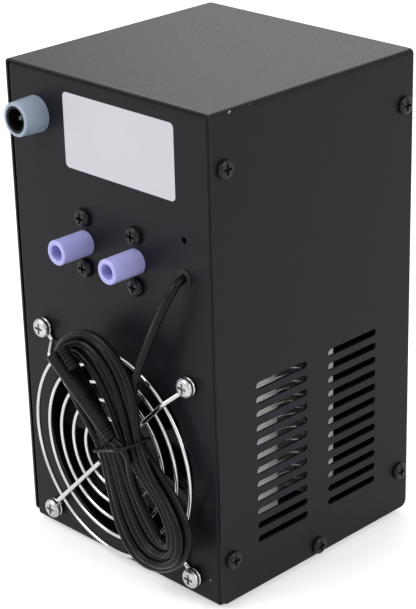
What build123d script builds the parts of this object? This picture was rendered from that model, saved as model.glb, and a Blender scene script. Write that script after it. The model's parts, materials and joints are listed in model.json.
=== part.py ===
# Thermoelectric aquarium chiller: a folded steel case with a fan and a pipe cooler
# inside, two water tubes, a power jack and a coiled sensor cord on its port panel.
#
# Millimetres. +Z is up, +X runs across the port panel, and the port panel faces -Y.
# The origin is at the bottom centre of the object without its cord.
import os
from math import atan2, cos, degrees, hypot, pi, radians, sin, tan

from build123d import *

os.makedirs("parts", exist_ok=True)

# Fits
SEAT_GAP = 0.05  # round a thread, and round a piece that is seated in its hole
HOLE_GAP = 0.1  # round a screw or a spigot in a plain hole

# Pan heads and their cross recess, as shares of the head's height and diameter
HEAD_ROUND = 0.7
CROSS_L = 0.55
CROSS_W = 0.13
CROSS_DEPTH = 0.55

# Case
CASE_W = 112.0  # across the port panel, over the cover
CASE_D = 110.0  # port panel to front panel
CASE_H = 200.0  # underside of the chassis to the top of the cover
SHEET = 1.0  # steel sheet of the chassis and the cover
SHEET_FIT = 0.2  # gap between the cover's sides and the chassis flanges
CHASSIS_BEND = 1.5  # outer radius of the chassis bends
COVER_BEND = 2.0  # outer radius of the cover's two top bends
COVER_CORNER = 3.0  # lower corners of the cover's sides
COVER_LIFT = 1.0  # the cover's sides end this far above the chassis underside
FLANGE = 12.0  # width of the chassis flanges
FLANGE_SLIT = 1.0  # relief slit where two flanges meet

# Side slots, the same on both sides
SLOT_L = 28.3
SLOT_H = 3.0
SLOT_ROWS = 12
SLOT_PITCH = 6.02
SLOT_LOW_Z = 21.9  # lowest row above the chassis underside
SLOT_COLUMNS = 40.6  # between the middles of the two columns

# Side screws
SIDE_HEAD_D = 7.4
SIDE_HEAD_H = 1.9
SIDE_SHANK_D = 3.0
SIDE_SHANK_L = 6.0
SIDE_PORT_IN = 6.1  # behind the port panel
SIDE_FRONT_IN = 5.2  # in front of the front panel
SIDE_TOP_Z = 178.8
SIDE_LOW_Z = 19.4
SIDE_MID_Z = 4.9

# Feet
FOOT_D = 12.0
FOOT_H = 2.0
FOOT_IN = 14.0  # middle of a foot from the sides and ends of the case
FOOT_EDGE = 0.4

# Fan and its opening
FAN_SQ = 92.0
FAN_T = 25.0
FAN_Z = 50.0  # fan axis above the chassis underside
FAN_PITCH = 82.5  # between the screws
FAN_CORNER = 4.5
FAN_FLANGE_T = 4.0
FAN_DUCT_D = 87.0
FAN_DUCT_WALL = 2.0
FAN_OPENING_D = 83.0  # cut in the port panel
FAN_HUB_D = 38.0
FAN_HUB_WALL = 1.6
FAN_HUB_L = 18.0
FAN_BLADES = 7
FAN_TIP_GAP = 1.2  # blade tip to duct
FAN_ROTOR_IN = 3.0  # rotor face behind the fan's front face
FAN_STRUT_W = 5.0
FAN_STRUT_T = 3.5
BLADE_T = 1.3
BLADE_ROOT = (19.0, 3.4, 48.0)  # chord, camber and pitch in degrees
BLADE_MIDDLE = (24.0, 3.6, 36.0)
BLADE_TIP = (28.0, 3.6, 27.0)
BLADE_TURN = 14.0  # degrees that set the blades' position at rest
SHAFT_D = 3.0
SHAFT_GAP = 0.05  # radial clearance of the shaft in its bearing
SHAFT_IN = 0.8  # end of the shaft behind the rotor's face
BOSS_L = 0.6  # boss round the shaft inside the hub
BEARING_END = 1.0  # room between the hub and the bearing
BEARING_D = 7.0
STATOR_D = 30.0
STATOR_L = 9.0
STATOR_SLOTS = 4
STATOR_SLOT_L = 7.5
STATOR_SLOT_W = 3.0

# Guard
RING_COUNT = 6
RING_MAX_R = 44.5
RING_PITCH = 7.35
RING_WIRE = 1.6
RING_OUT = 4.5  # middle of the ring wires in front of the port panel
SPOKE_WIRE = 1.9
WIRE_LIFT = 0.02  # between the eyelets and the port panel
WELD = 0.15  # how deep the crossing wires are welded into each other
SPOKE_BEND_R = 46.5  # distance from the fan axis at which a spoke turns to the panel
SPOKE_RADII = [2.0, 1.5]  # of a spoke's two bends
SPOKE_FOOT_L = 3.0  # run along the panel up to the eyelet
EYELET_R = 3.2  # middle of the wire
EYELET_WIRE = 1.7

# Guard screws
GUARD_SHANK_D = 3.9
GUARD_HEAD_D = 8.2
GUARD_HEAD_H = 2.3
GUARD_HOLE_D = 4.4
GUARD_NUT_W = 7.0
GUARD_NUT_T = 3.2
SCREW_END = 1.0  # thread that stands out of a nut

# Water ports
PORT_X = 14.3
PORT_Z = 134.3
TUBE_OD = 10.0
TUBE_ID = 6.0
TUBE_OUT = 15.0
TUBE_IN = 6.0  # depth of the tube in the water block
TUBE_EDGE = 0.4
NECK_D = 9.0  # of the tube from the panel's outer face inwards
PORT_SCREW_DZ = 10.3
PORT_SCREW_D = 3.9
PORT_SCREW_L = 9.0
PORT_HEAD_D = 7.6
PORT_HEAD_H = 2.5

# Water block behind the ports
BLOCK_W = 66.0
BLOCK_H = 50.0
BLOCK_T = 10.0
BLOCK_R = 2.0
CHANNEL_W = 6.0
CHANNEL_T = 5.0
CHANNEL_X = 23.0
CHANNEL_DROP = 16.3
GASKET_IN = 3.8  # middle of the gasket inside the block's edge
GASKET_W = 1.5
GASKET_T = 1.0
GASKET_R = 9.0  # corners of the gasket, which pass inside the clamp screws
LID_T = 2.0

# Thermoelectric module, foam and cooler base
MODULE_SQ = 40.0
MODULE_T = 3.8
CERAMIC_T = 0.8
PELLET_IN = 1.2
FOAM_GAP = 0.3
BASE_T = 10.0
CLAMP_X = 29.5
CLAMP_Z = 21.5
CLAMP_D = 2.9
CLAMP_HEAD_D = 5.5
CLAMP_HEAD_H = 2.5
CLAMP_IN = 5.0  # depth of the clamp screws in the water block

# Heat pipes, in pairs: x in the base, x in the fins, depth in the fins
PIPE_D = 6.0
PIPE_FIT = 0.05
PIPE_BEND = 9.0
PIPE_ROWS = [(6.0, 13.0, 56.0), (18.0, 33.0, 37.0)]
PIPE_UPPER_BEND_Z = 102.0
PIPE_LOWER_BEND_Z = 94.5
PIPE_END_Z = 19.0

# Fin stack
FIN_COUNT = 22
FIN_PITCH = 2.9
FIN_T = 0.5
FIN_LOW_Z = 23.0
FIN_W = 90.0
FIN_FRONT = 27.2  # depth of the fins' front edge
FIN_BACK = 76.2
FIN_LOBE = 16.0  # length of the folded tabs along the fins' ends
FIN_HOLLOW = 7.0  # depth of the curved hollow between the tabs
FIN_TAB_H = 2.3

# Power jack
JACK_X = -38.9
JACK_Z = 181.0
COLLAR_OUT = 10.8
COLLAR_BASE_D = 14.6
COLLAR_END_D = 13.6
COLLAR_EDGE = 0.5
JACK_D = 10.8
JACK_BORE_D = 8.8
JACK_BORE_L = 9.0
JACK_SET_BACK = 0.3  # face of the jack behind the collar's end
JACK_IN = 9.0  # behind the port panel
JACK_FIT = 0.1
JACK_PIN_D = 2.4
JACK_PIN_L = 7.0
JACK_PIN_EDGE = 0.5
JACK_TAIL_L = 3.0  # pin that stands out behind the jack
JACK_NUT_W = 14.0
JACK_NUT_T = 2.2

# Label, small hole and cord outlet
LABEL_W = 60.0
LABEL_H = 29.8
LABEL_T = 0.15
LABEL_X = 7.0
LABEL_Z = 178.2
LABEL_R = 2.0
SENSOR_HOLE_D = 2.6
SENSOR_HOLE_X = 40.8
SENSOR_HOLE_Z = 149.5
OUTLET_X = 40.4
OUTLET_Z = 134.6
OUTLET_D = 6.0  # hole in the panel
OUTLET_LIP_D = 7.0
OUTLET_LIP_T = 0.5
OUTLET_IN = 2.0

# Thermostat on the front panel
PANEL_Z = 160.0
BEZEL_W = 62.0
BEZEL_H = 38.0
BEZEL_T = 2.0
BEZEL_R = 4.0
BEZEL_EDGE = 0.8
SKIRT_W = 56.0
SKIRT_H = 32.0
SKIRT_L = 4.0
SKIRT_WALL = 1.6
SKIRT_FIT = 0.2
LENS_W = 40.0
LENS_H = 14.0
LENS_T = 1.2
LENS_FIT = 0.1
LENS_Z = 7.0  # above the middle of the bezel
LENS_REST = 1.0  # width of the ledge behind the lens
KEY_D = 8.0
KEY_Z = -9.0  # above the middle of the bezel
KEY_PITCH = 16.0
KEY_PROUD = 0.8
KEY_FIT = 0.15
KEY_FLANGE_D = 9.6
KEY_FLANGE_T = 0.8
KEY_TRAVEL = 0.5
KEY_STEM_D = 3.0
KEY_EDGE = 0.4

# Control board behind the thermostat
BOARD_W = 84.0
BOARD_H = 62.0
BOARD_T = 1.6
BOARD_BACK = 12.0  # board's front face behind the front panel's inner face
BOARD_HOLE_IN = 4.0
STANDOFF_W = 5.5
BOARD_SCREW_D = 2.9
BOARD_HEAD_D = 5.5
BOARD_HEAD_H = 1.8
DISPLAY_W = 36.0
DISPLAY_H = 12.0
DISPLAY_T = 7.0
SWITCH_SQ = 6.0
SWITCH_T = 3.5
CAP_D = 10.0
CAP_L = 16.0
CAP_COUNT = 3
CAP_PITCH = 13.0
CAP_EDGE = 0.6
CAP_Z = 15.5  # above the middle of the board
TERMINAL_W = 30.0
TERMINAL_H = 10.0
TERMINAL_T = 12.0
TERMINAL_WAYS = 6
TERMINAL_WALL = 1.6
TERMINAL_MOUTH_H = 5.0
TERMINAL_MOUTH_T = 3.0
TERMINAL_DROP = 15.5  # below the middle of the board

# Wiring: how each wire runs between its ends
WIRE_D = 1.8
WIRE_OFF = 0.2  # start of a wire clear of the piece it comes from
WIRE_END = 6.0  # straight end of a wire before it meets the board
JACK_WIRE_RUN = 22.0
JACK_WIRE_X = -20.0
JACK_WIRE_UP = 10.0  # above the terminals, half way through the case
MODULE_WIRE_X = 4.0
MODULE_WIRE_RISE = 10.0
MODULE_WIRE_SAG = 3.0
FAN_WIRE_X = 40.0
FAN_WIRE_RISE = 12.0
FAN_WIRE_TURN = (34.0, 20.0)  # x, and height above the fan
FAN_WIRE_BOARD = (26.0, 9.0)  # x, and height above the board's lower edge
INNER_CORD_RUN = 24.0
INNER_CORD_TURN = (38.0, 10.0)  # x, and height above the outlet
INNER_CORD_BOARD_X = 30.0

# Sensor cord
CORD_D = 3.3
CORD_IN = 2.4  # start of the cord behind the port panel's outer face
LEAD_POINTS = [  # x, distance in front of the port panel, height above the chassis
    (OUTLET_X, 3.1, OUTLET_Z),
    (39.7, 6.8, 129.8),
    (36.6, 8.9, 122.3),
    (31.9, 9.6, 112.8),
    (27.6, 10.1, 103.2),
    (24.9, 10.5, 96.8),
    (22.8, 10.8, 91.2),
]
HANK_OUTLINE = [  # x and height above the chassis, round the tied turns
    (29.0, 67.8),
    (24.4, 85.8),
    (16.8, 101.0),
    (4.0, 107.6),
    (-9.2, 102.6),
    (-15.6, 91.5),
    (-6.0, 74.0),
    (2.4, 57.4),
    (6.0, 42.6),
    (12.0, 24.0),
    (20.0, 13.9),
    (31.0, 13.4),
    (45.0, 21.0),
    (52.2, 34.6),
    (48.0, 48.0),
    (37.0, 55.8),
]
HANK_BACK = 8.9  # back of the hank in front of the port panel
HANK_T = 8.0
HANK_ROUND = 2.5
TIE_D = 1.2
TIE_GAP = 0.3
TIE_R = 2.0  # inner corners
PROBE_D = 5.5
PROBE_TIP_D = 5.9
PROBE_EDGE = 0.4
PROBE_X = -13.6  # tip
PROBE_Z = 94.1  # tip above the chassis
PROBE_TURN = -38.5  # degrees from +X towards +Z
PROBE_STEP_L = 22.0  # thicker part from the tip
PROBE_BODY_L = 13.0
PROBE_GAP = 0.2  # probe in front of the hank
RELIEF_D = 4.8
RELIEF_RIBS = 4
RELIEF_PITCH = 1.6
RIB_SLIT = 0.5
SLEEVE_D = 4.6
SLEEVE_RIBS = 6
SLEEVE_X = -8.6
SLEEVE_Z = 98.0
SLEEVE_TURN = -44.0

# Places worked out from the sizes above
REACH_BACK = BEZEL_T + KEY_PROUD
PORT_Y = (TUBE_OUT - CASE_D - REACH_BACK) / 2  # outer face of the port panel
MID_Y = PORT_Y + CASE_D / 2  # middle of the case
FRONT_Y = PORT_Y + CASE_D  # outer face of the front panel
BOTTOM_Z = FOOT_H  # underside of the chassis
TOP_Z = BOTTOM_Z + CASE_H
CHASSIS_W = CASE_W - 2 * (SHEET + SHEET_FIT)
CHASSIS_TOP = TOP_Z - SHEET
FAN_AXIS_Z = BOTTOM_Z + FAN_Z
BEHIND_PANEL = PORT_Y + SHEET  # inner face of the port panel
LID_Y = BEHIND_PANEL + BLOCK_T
MODULE_Y = LID_Y + LID_T
BASE_Y = MODULE_Y + MODULE_T
PORT_LINE_Z = BOTTOM_Z + PORT_Z
BOARD_Y = FRONT_Y - SHEET - BOARD_BACK
PANEL_MID_Z = BOTTOM_Z + PANEL_Z


def facing_ports(y):
    """Plane across the case at y, looking out of the port panel: x right, z up."""
    return Plane(origin=(0, y, 0), x_dir=(1, 0, 0), z_dir=(0, -1, 0))


def facing_front(y):
    """Plane across the case at y, looking out of the front panel."""
    return Plane(origin=(0, y, 0), x_dir=(-1, 0, 0), z_dir=(0, 1, 0))


def facing_side(x):
    """Plane along the case at x, looking out of the right side: y right, z up."""
    return Plane(origin=(x, 0, 0), x_dir=(0, 1, 0), z_dir=(1, 0, 0))


def finish(builder, name):
    """Label a finished piece and write it."""
    builder.part.label = name
    export_step(builder.part, f"parts/{name}.step")


def pan_screw(head_d, head_h, shank_d, shank_l):
    """Pan head screw on +Z, bearing face at the origin, with a cross recess."""
    with BuildPart() as screw:
        with BuildSketch(Plane.XY):
            Circle(head_d / 2)
        extrude(amount=head_h)
        fillet(screw.edges().group_by(Axis.Z)[-1], head_h * HEAD_ROUND)
        with BuildSketch(Plane.XY):
            Circle(shank_d / 2)
        extrude(amount=-shank_l)
        with BuildSketch(Plane.XY.offset(head_h)):
            Rectangle(head_d * CROSS_L, head_d * CROSS_W)
            Rectangle(head_d * CROSS_W, head_d * CROSS_L)
        extrude(amount=-head_h * CROSS_DEPTH, mode=Mode.SUBTRACT)
    return screw.part


def hex_nut(across, thick, hole_d):
    """Hexagon nut on +Z with its lower face at the origin."""
    with BuildPart() as nut:
        with BuildSketch(Plane.XY):
            RegularPolygon(across / 2, 6, major_radius=False)
            Circle(hole_d / 2, mode=Mode.SUBTRACT)
        extrude(amount=thick)
    return nut.part


def at_ports(x, z, y=PORT_Y):
    """Plane on the port panel at (x, z), looking outwards."""
    return Plane(origin=(x, y, z), x_dir=(1, 0, 0), z_dir=(0, -1, 0))


def gasket_ring(width):
    """Outline of the gasket or its groove, for the sketch that is being drawn."""
    outer_w = BLOCK_W - 2 * GASKET_IN + width
    outer_h = BLOCK_H - 2 * GASKET_IN + width
    RectangleRounded(outer_w, outer_h, GASKET_R + width / 2)
    RectangleRounded(
        outer_w - 2 * width, outer_h - 2 * width, GASKET_R - width / 2, mode=Mode.SUBTRACT
    )


# Hole patterns that several pieces share
GUARD_POINTS = [
    (sx * FAN_PITCH / 2, FAN_AXIS_Z + sz * FAN_PITCH / 2) for sx in (-1, 1) for sz in (-1, 1)
]
PORT_SCREW_POINTS = [
    (sx * PORT_X, PORT_LINE_Z + sz * PORT_SCREW_DZ) for sx in (-1, 1) for sz in (-1, 1)
]
CLAMP_POINTS = [
    (sx * CLAMP_X, PORT_LINE_Z + sz * CLAMP_Z) for sx in (-1, 1) for sz in (-1, 1)
]
BOARD_POINTS = [
    (
        sx * (BOARD_W / 2 - BOARD_HOLE_IN),
        PANEL_MID_Z + sz * (BOARD_H / 2 - BOARD_HOLE_IN),
    )
    for sx in (-1, 1)
    for sz in (-1, 1)
]
SIDE_POINTS = [
    (PORT_Y + SIDE_PORT_IN, BOTTOM_Z + SIDE_TOP_Z),
    (PORT_Y + SIDE_PORT_IN, BOTTOM_Z + SIDE_LOW_Z),
    (MID_Y, BOTTOM_Z + SIDE_MID_Z),
    (FRONT_Y - SIDE_FRONT_IN, BOTTOM_Z + SIDE_LOW_Z),
    (FRONT_Y - SIDE_FRONT_IN, BOTTOM_Z + SIDE_TOP_Z),
]
KEY_XS = {"key_set": -KEY_PITCH, "key_up": 0.0, "key_down": KEY_PITCH}
SLOT_MID_Z = BOTTOM_Z + SLOT_LOW_Z + (SLOT_ROWS - 1) * SLOT_PITCH / 2

# Chassis: port panel, bottom and front panel folded from one sheet, with flanges
with BuildPart() as chassis:
    with BuildSketch(Plane.XY.offset(BOTTOM_Z)):
        with Locations((0, MID_Y)):
            Rectangle(CHASSIS_W, CASE_D)
    extrude(amount=CHASSIS_TOP - BOTTOM_Z)
    uprights = chassis.edges().filter_by(Axis.Z)
    fillet(uprights + chassis.edges().group_by(Axis.Z)[0], CHASSIS_BEND)
    fillet(chassis.edges().group_by(Axis.Z)[-1].filter_by(Axis.Y), CHASSIS_BEND)
    with BuildSketch(Plane.XY.offset(BOTTOM_Z + SHEET)):
        with Locations((0, MID_Y)):
            RectangleRounded(CHASSIS_W - 2 * SHEET, CASE_D - 2 * SHEET, CHASSIS_BEND - SHEET)
    extrude(amount=CHASSIS_TOP - BOTTOM_Z - 2 * SHEET, mode=Mode.SUBTRACT)
    # The sides and the top are open inside their flanges
    with BuildSketch(facing_side(0)):
        with Locations((MID_Y, (BOTTOM_Z + FLANGE + CHASSIS_TOP) / 2)):
            Rectangle(CASE_D - 2 * FLANGE, CHASSIS_TOP - BOTTOM_Z - FLANGE)
        with Locations((MID_Y, BOTTOM_Z + FLANGE + FLANGE_SLIT / 2)):
            Rectangle(CASE_D - 2 * SHEET, FLANGE_SLIT)
        with Locations((MID_Y, CHASSIS_TOP - SHEET - FLANGE_SLIT / 2)):
            Rectangle(CASE_D - 2 * SHEET, FLANGE_SLIT)
    extrude(amount=CASE_W, both=True, mode=Mode.SUBTRACT)
    # Fan opening, screw holes and outlets in the port panel
    with BuildSketch(facing_ports(PORT_Y)):
        with Locations((0, FAN_AXIS_Z)):
            Circle(FAN_OPENING_D / 2)
        with Locations(*GUARD_POINTS):
            Circle(GUARD_HOLE_D / 2)
        with Locations((-PORT_X, PORT_LINE_Z), (PORT_X, PORT_LINE_Z)):
            Circle(NECK_D / 2 + HOLE_GAP)
        with Locations(*PORT_SCREW_POINTS):
            Circle(PORT_SCREW_D / 2 + HOLE_GAP)
        with Locations((JACK_X, BOTTOM_Z + JACK_Z)):
            Circle(JACK_D / 2 + JACK_FIT)
        with Locations((SENSOR_HOLE_X, BOTTOM_Z + SENSOR_HOLE_Z)):
            Circle(SENSOR_HOLE_D / 2)
        with Locations((OUTLET_X, BOTTOM_Z + OUTLET_Z)):
            Circle(OUTLET_D / 2)
    extrude(amount=-SHEET, mode=Mode.SUBTRACT)
    # Opening for the thermostat in the front panel
    with BuildSketch(facing_front(FRONT_Y)):
        with Locations((0, PANEL_MID_Z)):
            Rectangle(SKIRT_W + 2 * SKIRT_FIT, SKIRT_H + 2 * SKIRT_FIT)
    extrude(amount=-SHEET, mode=Mode.SUBTRACT)
    # Tapped holes for the side screws
    with BuildSketch(facing_side(0)):
        with Locations(*SIDE_POINTS):
            Circle(SIDE_SHANK_D / 2 + SEAT_GAP)
    extrude(amount=CASE_W, both=True, mode=Mode.SUBTRACT)
finish(chassis, "chassis")

# Cover: top and both sides folded from one sheet
with BuildPart() as cover:
    with BuildSketch(facing_ports(PORT_Y)):
        with Locations((0, (BOTTOM_Z + COVER_LIFT + TOP_Z) / 2)):
            Rectangle(CASE_W, TOP_Z - BOTTOM_Z - COVER_LIFT)
    extrude(amount=-CASE_D)
    fillet(cover.edges().filter_by(Axis.Y).group_by(Axis.Z)[-1], COVER_BEND)
    fillet(cover.edges().filter_by(Axis.X).group_by(Axis.Z)[0], COVER_CORNER)
    with BuildSketch(facing_ports(PORT_Y)):
        with Locations((0, (BOTTOM_Z + CHASSIS_TOP) / 2)):
            Rectangle(CASE_W - 2 * SHEET, CHASSIS_TOP - BOTTOM_Z)
    extrude(amount=-CASE_D, mode=Mode.SUBTRACT)
    fillet(
        cover.edges().filter_by(Axis.Y).filter_by_position(Axis.Z, CHASSIS_TOP - 0.1, CHASSIS_TOP + 0.1),
        COVER_BEND - SHEET,
    )
    with BuildSketch(facing_side(0)):
        with Locations((MID_Y, SLOT_MID_Z)):
            with GridLocations(SLOT_COLUMNS, SLOT_PITCH, 2, SLOT_ROWS):
                SlotOverall(SLOT_L, SLOT_H)
        with Locations(*SIDE_POINTS):
            Circle(SIDE_SHANK_D / 2 + SHEET_FIT)
    extrude(amount=CASE_W, both=True, mode=Mode.SUBTRACT)
finish(cover, "cover")

# Side screws, ten alike
side_screw = pan_screw(SIDE_HEAD_D, SIDE_HEAD_H, SIDE_SHANK_D, SIDE_SHANK_L)
with BuildPart() as side_screws:
    for side in (-1, 1):
        for y, z in SIDE_POINTS:
            with Locations(Plane(origin=(side * CASE_W / 2, y, z), x_dir=(0, 1, 0), z_dir=(side, 0, 0))):
                add(side_screw)
finish(side_screws, "side_screws")

# Feet
with BuildPart() as rubber_feet:
    with BuildSketch(Plane.XY):
        with Locations((0, MID_Y)):
            with GridLocations(CASE_W - 2 * FOOT_IN, CASE_D - 2 * FOOT_IN, 2, 2):
                Circle(FOOT_D / 2)
    extrude(amount=FOOT_H)
    chamfer(rubber_feet.edges().group_by(Axis.Z)[0], FOOT_EDGE)
finish(rubber_feet, "rubber_feet")

# Bare rating label
with BuildPart() as rating_label:
    with BuildSketch(facing_ports(PORT_Y)):
        with Locations((LABEL_X, BOTTOM_Z + LABEL_Z)):
            RectangleRounded(LABEL_W, LABEL_H, LABEL_R)
    extrude(amount=LABEL_T)
finish(rating_label, "rating_label")

# Fan frame: two square flanges, a round duct, and a motor plate on four struts
FAN_FACE_Y = BEHIND_PANEL  # front face of the fan, against the panel
FAN_REAR_Y = FAN_FACE_Y + FAN_T
with BuildPart() as fan_frame:
    for y in (FAN_FACE_Y, FAN_REAR_Y - FAN_FLANGE_T):
        with BuildSketch(facing_ports(y)):
            with Locations((0, FAN_AXIS_Z)):
                RectangleRounded(FAN_SQ, FAN_SQ, FAN_CORNER)
        extrude(amount=-FAN_FLANGE_T)
    with BuildSketch(facing_ports(FAN_FACE_Y)):
        with Locations((0, FAN_AXIS_Z)):
            Circle(FAN_DUCT_D / 2 + FAN_DUCT_WALL)
    extrude(amount=-FAN_T)
    with BuildSketch(facing_ports(FAN_FACE_Y)):
        with Locations((0, FAN_AXIS_Z)):
            Circle(FAN_DUCT_D / 2)
        with Locations(*GUARD_POINTS):
            Circle(GUARD_HOLE_D / 2)
    extrude(amount=-FAN_T, mode=Mode.SUBTRACT)
    # Motor plate and struts, level with the rear face
    with BuildSketch(facing_ports(FAN_REAR_Y)):
        with Locations((0, FAN_AXIS_Z)):
            Circle(FAN_HUB_D / 2)
            Rectangle(FAN_DUCT_D + FAN_DUCT_WALL, FAN_STRUT_W, rotation=45)
            Rectangle(FAN_DUCT_D + FAN_DUCT_WALL, FAN_STRUT_W, rotation=-45)
    extrude(amount=FAN_STRUT_T)
    with BuildSketch(facing_ports(FAN_REAR_Y)):
        with Locations((0, FAN_AXIS_Z)):
            Circle(BEARING_D / 2)
    extrude(amount=FAN_STRUT_T, mode=Mode.SUBTRACT)
finish(fan_frame, "fan_frame")

# Bearing and stator inside the hub
ROTOR_FACE_Y = FAN_FACE_Y + FAN_ROTOR_IN
MOTOR_FACE_Y = FAN_REAR_Y - FAN_STRUT_T
HUB_FLOOR_Y = ROTOR_FACE_Y + FAN_HUB_WALL
BEARING_FACE_Y = HUB_FLOOR_Y + BEARING_END
with BuildPart() as fan_bearing:
    with BuildSketch(facing_ports(FAN_REAR_Y)):
        with Locations((0, FAN_AXIS_Z)):
            Circle(BEARING_D / 2)
            Circle(SHAFT_D / 2 + SHAFT_GAP, mode=Mode.SUBTRACT)
    extrude(amount=FAN_REAR_Y - BEARING_FACE_Y)
finish(fan_bearing, "fan_bearing")

with BuildPart() as fan_stator:
    with BuildSketch(facing_ports(MOTOR_FACE_Y)):
        with Locations((0, FAN_AXIS_Z)):
            Circle(STATOR_D / 2)
            Circle(BEARING_D / 2, mode=Mode.SUBTRACT)
            with PolarLocations(STATOR_D / 2, STATOR_SLOTS, 45):
                Rectangle(STATOR_SLOT_L, STATOR_SLOT_W, mode=Mode.SUBTRACT)
    extrude(amount=STATOR_L)
finish(fan_stator, "fan_stator")

# Rotor: a cup with blades whose pitch falls off towards the tip
BLADE_MID_Y = ROTOR_FACE_Y + FAN_HUB_L / 2
BLADE_ROOT_R = FAN_HUB_D / 2 - FAN_HUB_WALL / 2
BLADE_TIP_R = FAN_DUCT_D / 2 - FAN_TIP_GAP


def blade_section(radius, chord, camber, pitch):
    """Curved blade section at a distance from the fan axis, turned by its pitch."""
    with BuildSketch(Plane.XY.offset(radius)) as section:
        with BuildLine():
            ThreePointArc((-chord / 2, 0), (0, camber), (chord / 2, 0))
            ThreePointArc((-chord / 2, 0), (0, camber - BLADE_T), (chord / 2, 0))
        make_face()
    return section.sketch.rotate(Axis.Z, pitch)


with BuildPart() as blade:
    add(blade_section(BLADE_ROOT_R, *BLADE_ROOT))
    add(blade_section((BLADE_ROOT_R + BLADE_TIP_R) / 2, *BLADE_MIDDLE))
    add(blade_section(BLADE_TIP_R, *BLADE_TIP))
    loft()
    # The tip follows the duct
    with BuildSketch(Plane.XZ.offset(-FAN_T / 2)):
        Circle(BLADE_TIP_R)
    extrude(amount=FAN_T, mode=Mode.INTERSECT)

with BuildPart() as fan_rotor:
    with BuildSketch(facing_ports(ROTOR_FACE_Y)):
        with Locations((0, FAN_AXIS_Z)):
            Circle(FAN_HUB_D / 2)
    extrude(amount=-FAN_HUB_L)
    fillet(fan_rotor.edges().filter_by(GeomType.CIRCLE).group_by(Axis.Y)[0], FAN_HUB_WALL)
    # The blade stands on its own Z axis with its chord along X: its X goes round the
    # hub, its Y goes along the fan axis and its Z goes outwards.
    for index in range(FAN_BLADES):
        turn = radians(BLADE_TURN + index * 360 / FAN_BLADES)
        outwards = (cos(turn), 0, sin(turn))
        around = (-sin(turn), 0, cos(turn))
        with Locations(Plane(origin=(0, BLADE_MID_Y, FAN_AXIS_Z), x_dir=around, z_dir=outwards)):
            add(blade.part)
    # Room for the stator
    with BuildSketch(facing_ports(ROTOR_FACE_Y + FAN_HUB_L)):
        with Locations((0, FAN_AXIS_Z)):
            Circle(FAN_HUB_D / 2 - FAN_HUB_WALL)
    extrude(amount=FAN_HUB_L - FAN_HUB_WALL, mode=Mode.SUBTRACT)
    # Boss that holds the shaft
    with BuildSketch(facing_ports(ROTOR_FACE_Y)):
        with Locations((0, FAN_AXIS_Z)):
            Circle(SHAFT_D / 2 + FAN_HUB_WALL)
    extrude(amount=-FAN_HUB_WALL - BOSS_L)
    with BuildSketch(facing_ports(ROTOR_FACE_Y + SHAFT_IN)):
        with Locations((0, FAN_AXIS_Z)):
            Circle(SHAFT_D / 2)
    extrude(amount=-FAN_HUB_WALL, mode=Mode.SUBTRACT)
finish(fan_rotor, "fan_rotor")

with BuildPart() as fan_shaft:
    with BuildSketch(facing_ports(ROTOR_FACE_Y + SHAFT_IN)):
        with Locations((0, FAN_AXIS_Z)):
            Circle(SHAFT_D / 2)
    extrude(amount=-(FAN_T - FAN_ROTOR_IN - SHAFT_IN))
finish(fan_shaft, "fan_shaft")

# Guard: rings, and diagonal spokes that run over them and down to eyelets
RING_RADII = [RING_MAX_R - RING_PITCH * index for index in range(RING_COUNT)]
SPOKE_OUT = RING_OUT + (RING_WIRE + SPOKE_WIRE) / 2 - WELD
EYELET_OUT = SPOKE_WIRE / 2 + WIRE_LIFT
CORNER_R = FAN_PITCH / 2 * 2**0.5
with BuildPart() as fan_guard:
    for radius in RING_RADII:
        with BuildSketch(facing_side(0)):
            with Locations((PORT_Y - RING_OUT, FAN_AXIS_Z + radius)):
                Circle(RING_WIRE / 2)
        revolve(axis=Axis((0, PORT_Y - RING_OUT, FAN_AXIS_Z), (0, 1, 0)))
    for x, z in GUARD_POINTS:
        out_x = x / CORNER_R
        out_z = (z - FAN_AXIS_Z) / CORNER_R
        spoke_points = [
            (out_x * r, PORT_Y - out, FAN_AXIS_Z + out_z * r)
            for r, out in (
                (RING_RADII[-1] - RING_WIRE / 2, SPOKE_OUT),
                (SPOKE_BEND_R, SPOKE_OUT),
                (CORNER_R - EYELET_R - SPOKE_FOOT_L, EYELET_OUT),
                (CORNER_R - EYELET_R + WELD, EYELET_OUT),
            )
        ]
        with BuildLine() as spoke_line:
            FilletPolyline(*spoke_points, radius=SPOKE_RADII)
        with BuildSketch(Plane(origin=spoke_line.line @ 0, z_dir=spoke_line.line % 0)):
            Circle(SPOKE_WIRE / 2)
        sweep(path=spoke_line.line)
        with BuildSketch(facing_side(x)):
            with Locations((PORT_Y - EYELET_OUT, z + EYELET_R)):
                Circle(EYELET_WIRE / 2)
        revolve(axis=Axis((x, PORT_Y - EYELET_OUT, z), (0, 1, 0)))
finish(fan_guard, "fan_guard")

# Guard screws and nuts
GUARD_HEAD_Y = PORT_Y - EYELET_OUT - SPOKE_WIRE / 2
GUARD_SHANK_L = FAN_REAR_Y + GUARD_NUT_T + SCREW_END - GUARD_HEAD_Y
guard_screw = pan_screw(GUARD_HEAD_D, GUARD_HEAD_H, GUARD_SHANK_D, GUARD_SHANK_L)
with BuildPart() as guard_screws:
    for x, z in GUARD_POINTS:
        with Locations(at_ports(x, z, GUARD_HEAD_Y)):
            add(guard_screw)
finish(guard_screws, "guard_screws")

guard_nut = hex_nut(GUARD_NUT_W, GUARD_NUT_T, GUARD_SHANK_D + 2 * SEAT_GAP)
with BuildPart() as guard_nuts:
    for x, z in GUARD_POINTS:
        with Locations(at_ports(x, z, FAN_REAR_Y + GUARD_NUT_T)):
            add(guard_nut)
finish(guard_nuts, "guard_nuts")

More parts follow.
